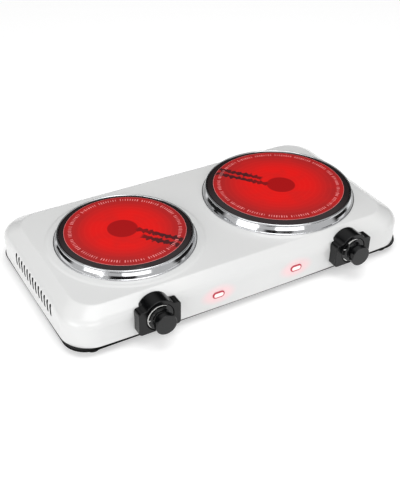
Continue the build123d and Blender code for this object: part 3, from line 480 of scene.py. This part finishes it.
def makeHousing():
    bm = bmesh.new()
    section = housingSection()
    loops = [[(x, y, housing["edge"] - hang(x, y))
              for x, y, _ in walkRound(0, housing["corner"], 0)]]
    for inset, z in section:
        share = min(inset / housing["run"], 1.0)
        corner = housing["corner"] + (housing["fieldCorner"] - housing["corner"]) * share
        loops.append(walkRound(inset, corner - max(0, inset - housing["run"]), z))
    rings = [[bm.verts.new([c * mm for c in p]) for p in loop] for loop in loops]
    for low, high in zip(rings, rings[1:]):
        for k in range(len(low)):
            n = (k + 1) % len(low)
            bm.faces.new((low[k], low[n], high[n], high[k]))
    field = housing["wallTop"] + housing["rise"]
    edges = [bm.edges.get((rings[-1][k], rings[-1][k - 1])) for k in range(len(rings[-1]))]
    # burner openings; the left one stands on a soft-edged round platform
    for side, burner in burners.items():
        opening = burner["rim"] - housing["openingInset"]
        rise = burner["seat"] - field
        profile = [(opening, burner["seat"])]
        if rise > 0:
            for t in (k / 12 for k in range(13)):
                profile.append((housing["platform"] + housing["platformFall"] * t,
                                burner["seat"] - rise * (3 * t ** 2 - 2 * t ** 3)))
        else:
            profile += [(opening + 4, field)]
        circles = [[bm.verts.new(((burner["x"] + r * cos(2 * pi * k / 128)) * mm,
                                  (burnerY + r * sin(2 * pi * k / 128)) * mm, z * mm))
                    for k in range(128)] for r, z in profile]
        for inner, outer in zip(circles, circles[1:]):
            for k in range(128):
                n = (k + 1) % 128
                bm.faces.new((inner[k], inner[n], outer[n], outer[k]))
        edges += [bm.edges.get((circles[-1][k], circles[-1][k - 1])) for k in range(128)]
    bmesh.ops.triangle_fill(bm, use_beauty=True, edges=edges, normal=(0, 0, 1))
    bmesh.ops.recalc_face_normals(bm, faces=bm.faces)
    if sum(f.normal.z * f.calc_area() for f in bm.faces) < 0:
        bmesh.ops.reverse_faces(bm, faces=bm.faces)
    return bm


vents = {"count": 13, "pitch": 8.9, "length": 16.0, "width": 4.2, "middleZ": 31.5, "middleY": 3.0,
         "plugFrom": 231.0, "plugDeep": 12}


# a row of slot-shaped plugs; it cuts the vents
def slotTree():
    tree = bpy.data.node_groups.new("ventPlugs", "GeometryNodeTree")
    face = tree.interface
    face.new_socket("Count", in_out="INPUT", socket_type="NodeSocketInt")
    for name in ("Pitch", "Length", "Width", "Depth"):
        face.new_socket(name, in_out="INPUT", socket_type="NodeSocketFloat")
    face.new_socket("Geometry", in_out="OUTPUT", socket_type="NodeSocketGeometry")
    given = addNode(tree, "NodeGroupInput").outputs
    slot = addNode(tree, "GeometryNodeCurvePrimitiveQuadrilateral",
                   {"Width": given["Width"], "Height": given["Length"]})
    radius = addNode(tree, "ShaderNodeMath", {0: given["Width"], 1: 0.499}, operation="MULTIPLY")
    ends = addNode(tree, "GeometryNodeFilletCurve", {"Curve": slot.outputs[0], "Count": 6,
                                                     "Radius": radius.outputs[0]}, mode="POLY")
    filled = addNode(tree, "GeometryNodeFillCurve", {"Curve": ends.outputs[0]}, mode="NGONS")
    deep = addNode(tree, "GeometryNodeExtrudeMesh", {"Mesh": filled.outputs[0],
                                                     "Offset Scale": given["Depth"],
                                                     "Individual": False})
    under = addNode(tree, "GeometryNodeFlipFaces", {"Mesh": filled.outputs[0]})
    joined = addNode(tree, "GeometryNodeJoinGeometry")
    tree.links.new(deep.outputs["Mesh"], joined.inputs[0])
    tree.links.new(under.outputs[0], joined.inputs[0])
    solid = addNode(tree, "GeometryNodeMergeByDistance", {"Geometry": joined.outputs[0],
                                                          "Distance": 1e-6})
    step = addNode(tree, "ShaderNodeCombineXYZ", {0: given["Pitch"]})
    row = addNode(tree, "GeometryNodeMeshLine", {"Count": given["Count"],
                                                 "Offset": step.outputs[0]}, mode="OFFSET")
    placed = addNode(tree, "GeometryNodeInstanceOnPoints", {"Points": row.outputs[0],
                                                            "Instance": solid.outputs[0]})
    real = addNode(tree, "GeometryNodeRealizeInstances", {0: placed.outputs[0]})
    painted = addNode(tree, "GeometryNodeSetMaterial", {"Geometry": real.outputs[0],
                                                        "Material": enamel})
    addNode(tree, "NodeGroupOutput", {0: painted.outputs[0]})
    return tree


# runs a tree on an empty mesh and hands back the plain result as a mesh
def grown(name, tree, values):
    holder = bpy.data.objects.new(name, bpy.data.meshes.new(name))
    bpy.context.scene.collection.objects.link(holder)
    maker = holder.modifiers.new("grow", "NODES")
    maker.node_group = tree
    for item in tree.interface.items_tree:
        if item.in_out == "INPUT" and item.name in values:
            maker[item.identifier] = values[item.name]
    evaluated = holder.evaluated_get(bpy.context.evaluated_depsgraph_get())
    made = bpy.data.meshes.new_from_object(evaluated)
    holder.modifiers.remove(maker)
    bpy.data.objects.remove(holder)
    return made


def cutVents(bm):
    shell = bpy.data.meshes.new("housingShell")
    bm.to_mesh(shell)
    bm.free()
    skin = bpy.data.objects.new("housingShell", shell)
    bpy.context.scene.collection.objects.link(skin)
    thick = skin.modifiers.new("sheet", "SOLIDIFY")
    thick.thickness = housing["sheet"] * mm
    thick.offset = -1
    thick.material_offset = 1
    for material in (enamel, groundCoatAndSlotShade):
        shell.materials.append(material)
    plugs = bmesh.new()
    row = grown("ventRow", slotTree(), {"Count": vents["count"], "Pitch": vents["pitch"] * mm,
                                        "Length": vents["length"] * mm,
                                        "Width": vents["width"] * mm,
                                        "Depth": vents["plugDeep"] * mm})
    start = -(vents["count"] - 1) / 2 * vents["pitch"] * mm
    for sign in (-1, 1):
        turned = Matrix(((0, 0, -sign, sign * vents["plugFrom"] * mm),
                         (1, 0, 0, start + vents["middleY"] * mm),
                         (0, 1, 0, vents["middleZ"] * mm), (0, 0, 0, 1)))
        copy = row.copy()
        copy.transform(turned)
        plugs.from_mesh(copy)
    bmesh.ops.recalc_face_normals(plugs, faces=plugs.faces)
    cutterMesh = bpy.data.meshes.new("ventPlugs")
    plugs.to_mesh(cutterMesh)
    plugs.free()
    cutter = bpy.data.objects.new("ventPlugs", cutterMesh)
    bpy.context.scene.collection.objects.link(cutter)
    cut = skin.modifiers.new("cut", "BOOLEAN")
    cut.object = cutter
    cut.solver = "EXACT"
    evaluated = skin.evaluated_get(bpy.context.evaluated_depsgraph_get())
    made = bpy.data.meshes.new_from_object(evaluated)
    bpy.data.objects.remove(skin)
    bpy.data.objects.remove(cutter)
    out = bmesh.new()
    out.from_mesh(made)
    bmesh.ops.remove_doubles(out, verts=out.verts, dist=2e-6)
    for face in out.faces:
        middle = face.calc_center_median() / mm
        inWall = abs(middle.x) > housing["length"] / 2 - 1 and abs(face.normal.x) < 0.5
        inRow = (abs(middle.y - vents["middleY"]) < 57
                 and abs(middle.z - vents["middleZ"]) < vents["length"] / 2 + 1)
        if inWall and inRow:
            face.material_index = 1  # the slots' cut walls, painted dark as shade inside the vents
    return out


finishPiece("housing", cutVents(makeHousing()), [enamel, groundCoatAndSlotShade], "body",
            ("top_housing",), 32, False)
print("housing made")


glass = {"top": 65.0, "bottom": 61.0, "edgeTop": 63.0, "print": {"left": 6.5, "right": 7.7},
         "line": 0.4, "bevel": 8.0}
trim = {"beadTop": 63.5, "bead": 2.7, "neck": 2.0, "band": 5.9, "flare": 6.8, "ledge": 5.0}


def makeTrim(side):
    burner = burners[side]
    rim, seat, top = burner["rim"], burner["seat"], trim["beadTop"]
    inner = rim + 0.3
    ledge = glass["bottom"] - 1.7
    outline = [(rim - trim["ledge"], ledge), (inner + 0.9, ledge), (inner + 0.9, 61.0),
               (rim + 1.8, 60.0), (rim + 5.2, 54.6), (rim + 5.7, seat + 0.02),
               (rim + trim["flare"], seat + 0.02), (rim + trim["flare"], seat + 1.3),
               (rim + trim["band"], seat + 1.6), (rim + trim["band"] - 0.3, seat + 2.4),
               (rim + trim["band"] - 1.5, seat + 5.0), (rim + trim["neck"] + 0.3, top - 3.1),
               (rim + trim["neck"], top - 2.3), (rim + trim["bead"], top - 1.7),
               (rim + trim["bead"], top), (inner, top), (inner, ledge + 0.9),
               (rim - trim["ledge"], ledge + 0.9)]
    radii = [0, 0.3, 0.3, 0.3, 0.3, 0.3, 0.3, 0.55, 0.2, 0.6, 2.5, 0.5, 0.3, 0.6, 1.1, 1.1, 0.4, 0]
    bm = bmesh.new()
    lathe(bm, rounded(outline, radii, 5), (burner["x"], burnerY, 0), steps=224, closed=True)
    return finishPiece(side + "TrimRing", bm, [buffedStainless(side)], "body",
                       (side + "_trim_ring",), 40)


def makeGlass(side):
    burner = burners[side]
    edge = burner["rim"]
    lit = edge - glass["print"][side]
    crest = edge - glass["bevel"]
    slope = (glass["top"] - glass["edgeTop"]) / (edge - crest)
    profile = [(0, glass["bottom"]), (edge - 0.4, glass["bottom"]), (edge, glass["bottom"] + 0.4),
               (edge, glass["edgeTop"] - 0.4), (edge - 0.4, glass["edgeTop"] + 0.05)]
    profile += [(r, glass["top"] - max(0.0, r - crest) * slope)
                for r in (edge - 3.0, edge - 5.5, lit + glass["line"], lit)]
    profile += [(crest - 0.6, glass["top"]), (30, glass["top"]), (0, glass["top"])]
    slots = [0] * (len(profile) - 1)
    slots[-4] = 2
    slots[-3:] = [1, 1, 1]
    bm = bmesh.new()
    lathe(bm, profile, (burner["x"], burnerY, 0), steps=192, slots=slots)
    return finishPiece(side + "Glass", bm, [frit, litGlass(side), glowPrint], "body",
                       (side + "_glass",))


# small printed ticks that run round inside the dark band, in groups
marks = {"inset": 6.8, "pitch": 3.0, "long": 4.5, "wide": 0.7, "proud": 0.03}


def tickTree():
    tree = bpy.data.node_groups.new("printedTicks", "GeometryNodeTree")
    face = tree.interface
    for name, kind in (("Count", "Int"), ("Group", "Int"), ("Seed", "Int"), ("Radius", "Float"),
                       ("Long", "Float"), ("Wide", "Float"), ("Proud", "Float")):
        face.new_socket(name, in_out="INPUT", socket_type="NodeSocket" + kind)
    face.new_socket("Geometry", in_out="OUTPUT", socket_type="NodeSocketGeometry")
    given = addNode(tree, "NodeGroupInput").outputs
    rim = addNode(tree, "GeometryNodeMeshCircle", {"Vertices": given["Count"],
                                                   "Radius": given["Radius"]})
    index = addNode(tree, "GeometryNodeInputIndex").outputs[0]
    turn = addNode(tree, "ShaderNodeMath", {0: index, 1: given["Count"]}, operation="DIVIDE")
    angle = addNode(tree, "ShaderNodeMath", {0: turn.outputs[0], 1: 2 * pi}, operation="MULTIPLY")
    spin = addNode(tree, "ShaderNodeCombineXYZ", {2: angle.outputs[0]})
    place = addNode(tree, "ShaderNodeMath", {0: index, 1: given["Group"]}, operation="MODULO")
    gap = addNode(tree, "ShaderNodeMath", {0: place.outputs[0], 1: 0.5}, operation="GREATER_THAN")
    size = addNode(tree, "FunctionNodeRandomValue", {2: 0.7, 3: 1.0, "Seed": given["Seed"]})
    slim = addNode(tree, "FunctionNodeRandomValue", {2: 0.7, 3: 2.0, "Seed": 11})
    tall = addNode(tree, "ShaderNodeMath", {0: given["Long"], 1: size.outputs[1]},
                   operation="MULTIPLY")
    broad = addNode(tree, "ShaderNodeMath", {0: given["Wide"], 1: slim.outputs[1]},
                    operation="MULTIPLY")
    scale = addNode(tree, "ShaderNodeCombineXYZ", {0: tall.outputs[0], 1: broad.outputs[0],
                                                   2: given["Proud"]})
    tick = addNode(tree, "GeometryNodeMeshCube", {"Size": (1, 1, 1)})
    placed = addNode(tree, "GeometryNodeInstanceOnPoints",
                     {"Points": rim.outputs[0], "Selection": gap.outputs[0],
                      "Instance": tick.outputs[0], "Rotation": spin.outputs[0],
                      "Scale": scale.outputs[0]})
    real = addNode(tree, "GeometryNodeRealizeInstances", {0: placed.outputs[0]})
    painted = addNode(tree, "GeometryNodeSetMaterial", {"Geometry": real.outputs[0],
                                                        "Material": glowPrint})
    addNode(tree, "NodeGroupOutput", {0: painted.outputs[0]})
    return tree


ticks = tickTree()


def makeTicks(side, seed):
    burner = burners[side]
    radius = burner["rim"] - glass["print"][side] - marks["inset"]
    count = int(2 * pi * radius / marks["pitch"])
    mesh = grown(side + "Ticks", ticks, {"Count": count, "Group": 9, "Seed": seed,
                                         "Radius": radius * mm, "Long": marks["long"] * mm,
                                         "Wide": marks["wide"] * mm, "Proud": marks["proud"] * mm})
    mesh.transform(Matrix.Translation((burner["x"] * mm, burnerY * mm, glass["top"] * mm)))
    bm = bmesh.new()
    bm.from_mesh(mesh)
    return finishPiece(side + "PrintedTicks", bm, [glowPrint], "body", ())


for side, seed in (("left", 3), ("right", 7)):
    makeTrim(side)
    makeGlass(side)
    makeTicks(side, seed)
print("burners made")


knob = {"back": -116.3, "skirt": 16.3, "skirtDeep": 4.2, "neck": 10.2, "waist": 13.2, "cap": 12.5,
        "long": 19.7}
# white arcs on each skirt: (from, to, widths at start, middle and end); the off mark stands apart
dial = {"left": [(222, 58, 0.3, 1.3, 0.3)],
        "right": [(124, 72, 2.7, 1.5, 0.4), (243, 212, 0.3, 0.9, 0.3)]}
offMark = {"left": 184, "right": 160, "radius": 13.4, "half": (0.6, 1.5)}


def makeKnob(side):
    x = controls[side]
    outline = [(0, 0), (knob["skirt"], 0), (knob["skirt"], knob["skirtDeep"]),
               (knob["neck"] + 1.4, knob["skirtDeep"]), (knob["neck"], knob["skirtDeep"] + 1.8),
               (knob["neck"], knob["waist"] - 1.4), (knob["cap"], knob["waist"]),
               (knob["cap"], knob["long"]), (0, knob["long"])]
    radii = [0, 0.3, 0.6, 0.8, 1.2, 1.0, 0.5, 0.9, 0]
    bm = bmesh.new()
    lathe(bm, rounded(outline, radii, 5, False), (x, knob["back"], shaftZ), "y", 128)
    return finishPiece(side + "Knob", bm, [knobPhenolic], side + "_control", (side + "_knob",))


def makeDialPrint(side):
    x = controls[side]
    bm = bmesh.new()
    steps = 48
    face = knob["back"] - knob["skirtDeep"]
    outer = knob["skirt"] - 1.1
    for first, last, begin, middle, end in dial[side]:
        rings = []
        for k in range(steps + 1):
            t = k / steps
            a = radians(first + (last - first) * t)
            wide = begin * (1 - t) ** 2 + (4 * middle - begin - end) * t * (1 - t) + end * t ** 2
            rings.append([bm.verts.new([c * mm for c in (x + r * cos(a), y, shaftZ + r * sin(a))])
                          for r in (outer - wide, outer) for y in (face - 0.04, face + 0.02)])
        for low, high in zip(rings, rings[1:]):
            for a, b in ((0, 2), (2, 3), (3, 1), (1, 0)):
                bm.faces.new((low[a], low[b], high[b], high[a]))
        for ring in (rings[0], rings[-1]):
            bm.faces.new((ring[0], ring[1], ring[3], ring[2]))
    a = radians(offMark[side])
    across, out = Vector((-sin(a), 0, cos(a))), Vector((cos(a), 0, sin(a)))
    middle = Vector((x, face - 0.01, shaftZ)) + out * offMark["radius"]
    corners = [middle + across * (s * offMark["half"][0]) + out * (t * offMark["half"][1])
               + Vector((0, d, 0))
               for d in (-0.03, 0.03) for s, t in ((-1, -1), (1, -1), (1, 1), (-1, 1))]
    box = [bm.verts.new(c * mm) for c in corners]
    for loop in ((0, 1, 2, 3), (4, 5, 6, 7), (0, 1, 5, 4),
                 (1, 2, 6, 5), (2, 3, 7, 6), (3, 0, 4, 7)):
        bm.faces.new([box[i] for i in loop])
    return finishPiece(side + "DialPrint", bm, [printWhite], side + "_control", ())


for side in controls:
    makeKnob(side)
    makeDialPrint(side)
    refined(side + "_bezel", bezelAbs)
    refined(side + "_bush_nut", zincPlate)
print("controls made")


# the dome is a row of (inset, height) steps out from the wall
lens = {"long": 15.5, "tall": 8.5,
        "dome": ((0, 0.0), (0, -0.45), (0.12, -0.72), (0.45, -0.92), (1.4, -0.98), (2.6, -1.0))}


def makeLens(side):
    bm = bmesh.new()
    half, radius = (lens["long"] - lens["tall"]) / 2, lens["tall"] / 2
    rings = []
    for shrink, y in lens["dome"]:
        r = radius - shrink
        loop = []
        for k in range(48):
            a = 2 * pi * k / 48
            cx = half if cos(a) >= 0 else -half
            loop.append((lamps[side] + cx + r * cos(a), frontY + y, lampZ + r * sin(a)))
        rings.append([bm.verts.new([c * mm for c in p]) for p in loop])
    for low, high in zip(rings, rings[1:]):
        for k in range(48):
            n = (k + 1) % 48
            bm.faces.new((low[k], low[n], high[n], high[k]))
    bm.faces.new(rings[-1])
    bm.faces.new(rings[0])
    return finishPiece(side + "LampLens", bm, [litLens(side)], "body", (side + "_lamp_lens",),
                       40)


for side in lamps:
    makeLens(side)
print("lamps made")


refined("base_plate", baseEnamel)
for place in ("left_front", "left_back", "right_front", "right_back"):
    refined(place + "_foot", footRubber)
refined("cord_gland", glandNylon)
for name in ("base_screws", "foot_screws"):
    refined(name, zincPlate)

finishes = {
    "foot_nuts": zincPlate, "support_posts": zincPlate, "bezel_screws": zincPlate,
    "gland_nut": glandNylon, "terminal_block": switchPolyester, "terminal_screws": turnedBrass,
    "earth_stud": turnedBrass, "earth_nut": turnedBrass,
}
for side in burners:
    finishes.update({
        side + "_glass_gasket": fibreTape, side + "_heater_pan": aluminised,
        side + "_insulation_base": mineralBoard, side + "_insulation_wall": mineralBoard,
        side + "_coil": hotRibbon, side + "_centre_disc": cordierite,
        side + "_limiter_bars": cordierite, side + "_limiter_switch": steatite,
        side + "_pan_strap": zincPlate, side + "_strap_nuts": zincPlate,
        side + "_regulator": switchPolyester, side + "_shaft": zincPlate,
        side + "_knob_clip": springSteel, side + "_neon_lamp": neonGlass,
    })
for name, material in finishes.items():
    nodes[name].data.materials.clear()
    nodes[name].data.materials.append(material)
print("base and inner parts dressed")


def makeStage():
    material, tree, shader, place = startMaterial(
        "whiteLightTable", "DADADA",
        {"Roughness": 0.8, "Specular IOR Level": 0.1, "Emission Color": linear("FFFFFF"),
         "Emission Strength": 0.42})
    bm = bmesh.new()
    corners = [bm.verts.new((x, y, -0.0002)) for x, y in ((-6, -6), (6, -6), (6, 6), (-6, 6))]
    bm.faces.new(corners)
    mesh = bpy.data.meshes.new("floor")
    bm.to_mesh(mesh)
    bm.free()
    mesh.materials.append(material)
    floor = bpy.data.objects.new("floor", mesh)
    bpy.context.scene.collection.objects.link(floor)


def softbox(name, at, aim, wide, tall, power):
    light = bpy.data.lights.new(name, "AREA")
    light.shape = "RECTANGLE"
    light.size, light.size_y, light.energy = wide, tall, power
    obj = bpy.data.objects.new(name, light)
    obj.location = at
    obj.rotation_euler = (Vector(aim) - Vector(at)).to_track_quat("-Z", "Y").to_euler()
    bpy.context.scene.collection.objects.link(obj)
    return obj


# the studio: a bright ceiling; round the horizon dark ahead and behind, bright to either side
studio = {"ahead": (-0.504, -0.863, 0.0), "aheadFrom": 0.92, "aheadTo": 0.96, "behindFrom": 0.15,
          "behindTo": 0.0, "low": 0.02, "side": 1.0, "skirt": (0.3, 0.42), "backdrop": (0.45, 0.8),
          "ceiling": 0.85, "strength": 0.66}


def makeLight():
    softbox("overhead", (0.1, -0.2, 2.2), (0, 0, 0), 1.6, 1.4, 19.5)
    softbox("front", (-0.4, -2.0, 1.3), (0, 0, 0.03), 1.6, 1.2, 12)
    softbox("leftFill", (-2.0, -0.5, 0.9), (0, 0, 0.03), 1.2, 1.0, 10.5)
    world = bpy.data.worlds.new("studio")
    bpy.context.scene.world = world
    world.use_nodes = True
    tree = world.node_tree
    back = tree.nodes["Background"]
    ray = addNode(tree, "ShaderNodeTexCoord").outputs["Generated"]
    height = addNode(tree, "ShaderNodeSeparateXYZ", {0: ray}).outputs[2]
    level = addNode(tree, "ShaderNodeVectorMath", {0: ray, 1: (1, 1, 0)},
                    operation="MULTIPLY").outputs[0]
    heading = addNode(tree, "ShaderNodeVectorMath", {0: level},
                      operation="NORMALIZE").outputs[0]
    facing = addNode(tree, "ShaderNodeVectorMath", {0: heading, 1: studio["ahead"]},
                     operation="DOT_PRODUCT").outputs["Value"]
    ahead = addNode(tree, "ShaderNodeMapRange",
                    {"Value": facing, 1: studio["aheadFrom"], 2: studio["aheadTo"],
                     3: studio["side"], 4: studio["low"]},
                    interpolation_type="SMOOTHSTEP").outputs[0]
    behind = addNode(tree, "ShaderNodeMapRange",
                     {"Value": facing, 1: studio["behindFrom"], 2: studio["behindTo"], 3: 1.0,
                      4: studio["low"]}, interpolation_type="SMOOTHSTEP").outputs[0]
    skirt = addNode(tree, "ShaderNodeMapRange",
                    {"Value": height, 1: studio["skirt"][0], 2: studio["skirt"][1]},
                    interpolation_type="SMOOTHSTEP").outputs[0]
    front = addNode(tree, "ShaderNodeMix", {0: skirt, 2: ahead, 3: studio["side"]}).outputs[0]
    lift = addNode(tree, "ShaderNodeMapRange",
                   {"Value": height, 1: studio["backdrop"][0], 2: studio["backdrop"][1]},
                   interpolation_type="SMOOTHSTEP").outputs[0]
    rear = addNode(tree, "ShaderNodeMix", {0: lift, 2: behind, 3: 1.0}).outputs[0]
    tone = addNode(tree, "ShaderNodeMath", {0: front, 1: rear}, operation="MULTIPLY").outputs[0]
    ceiling = addNode(tree, "ShaderNodeMapRange", {"Value": height, 1: 0.5, 2: 1.0, 3: 1.0,
                                                   4: studio["ceiling"]}).outputs[0]
    tone = addNode(tree, "ShaderNodeMath", {0: tone, 1: ceiling}, operation="MULTIPLY").outputs[0]
    tree.links.new(tone, back.inputs["Color"])
    back.inputs["Strength"].default_value = studio["strength"]


# the viewpoint: positions in mm, focal length in mm, roll in degrees
view = {"at": (-439.85, -738.29, 611.86), "aim": (-28.2, -31.9, 33.0), "lens": 75.65,
        "sensor": 36.0, "roll": 0.976}


def makeCamera():
    camera = bpy.data.cameras.new("camera")
    camera.sensor_fit = "HORIZONTAL"
    camera.sensor_width = view["sensor"]
    camera.lens = view["lens"]
    obj = bpy.data.objects.new("camera", camera)
    at, aim = Vector(view["at"]) * mm, Vector(view["aim"]) * mm
    turned = (aim - at).to_track_quat("-Z", "Y").to_matrix()
    turned = turned @ Matrix.Rotation(radians(view["roll"]), 3, "Z")
    obj.matrix_world = Matrix.Translation(at) @ turned.to_4x4()
    bpy.context.scene.collection.objects.link(obj)
    bpy.context.scene.camera = obj


makeStage()
makeLight()
makeCamera()
bpy.context.scene.view_settings.view_transform = "Standard"
print("stage, light and camera set")
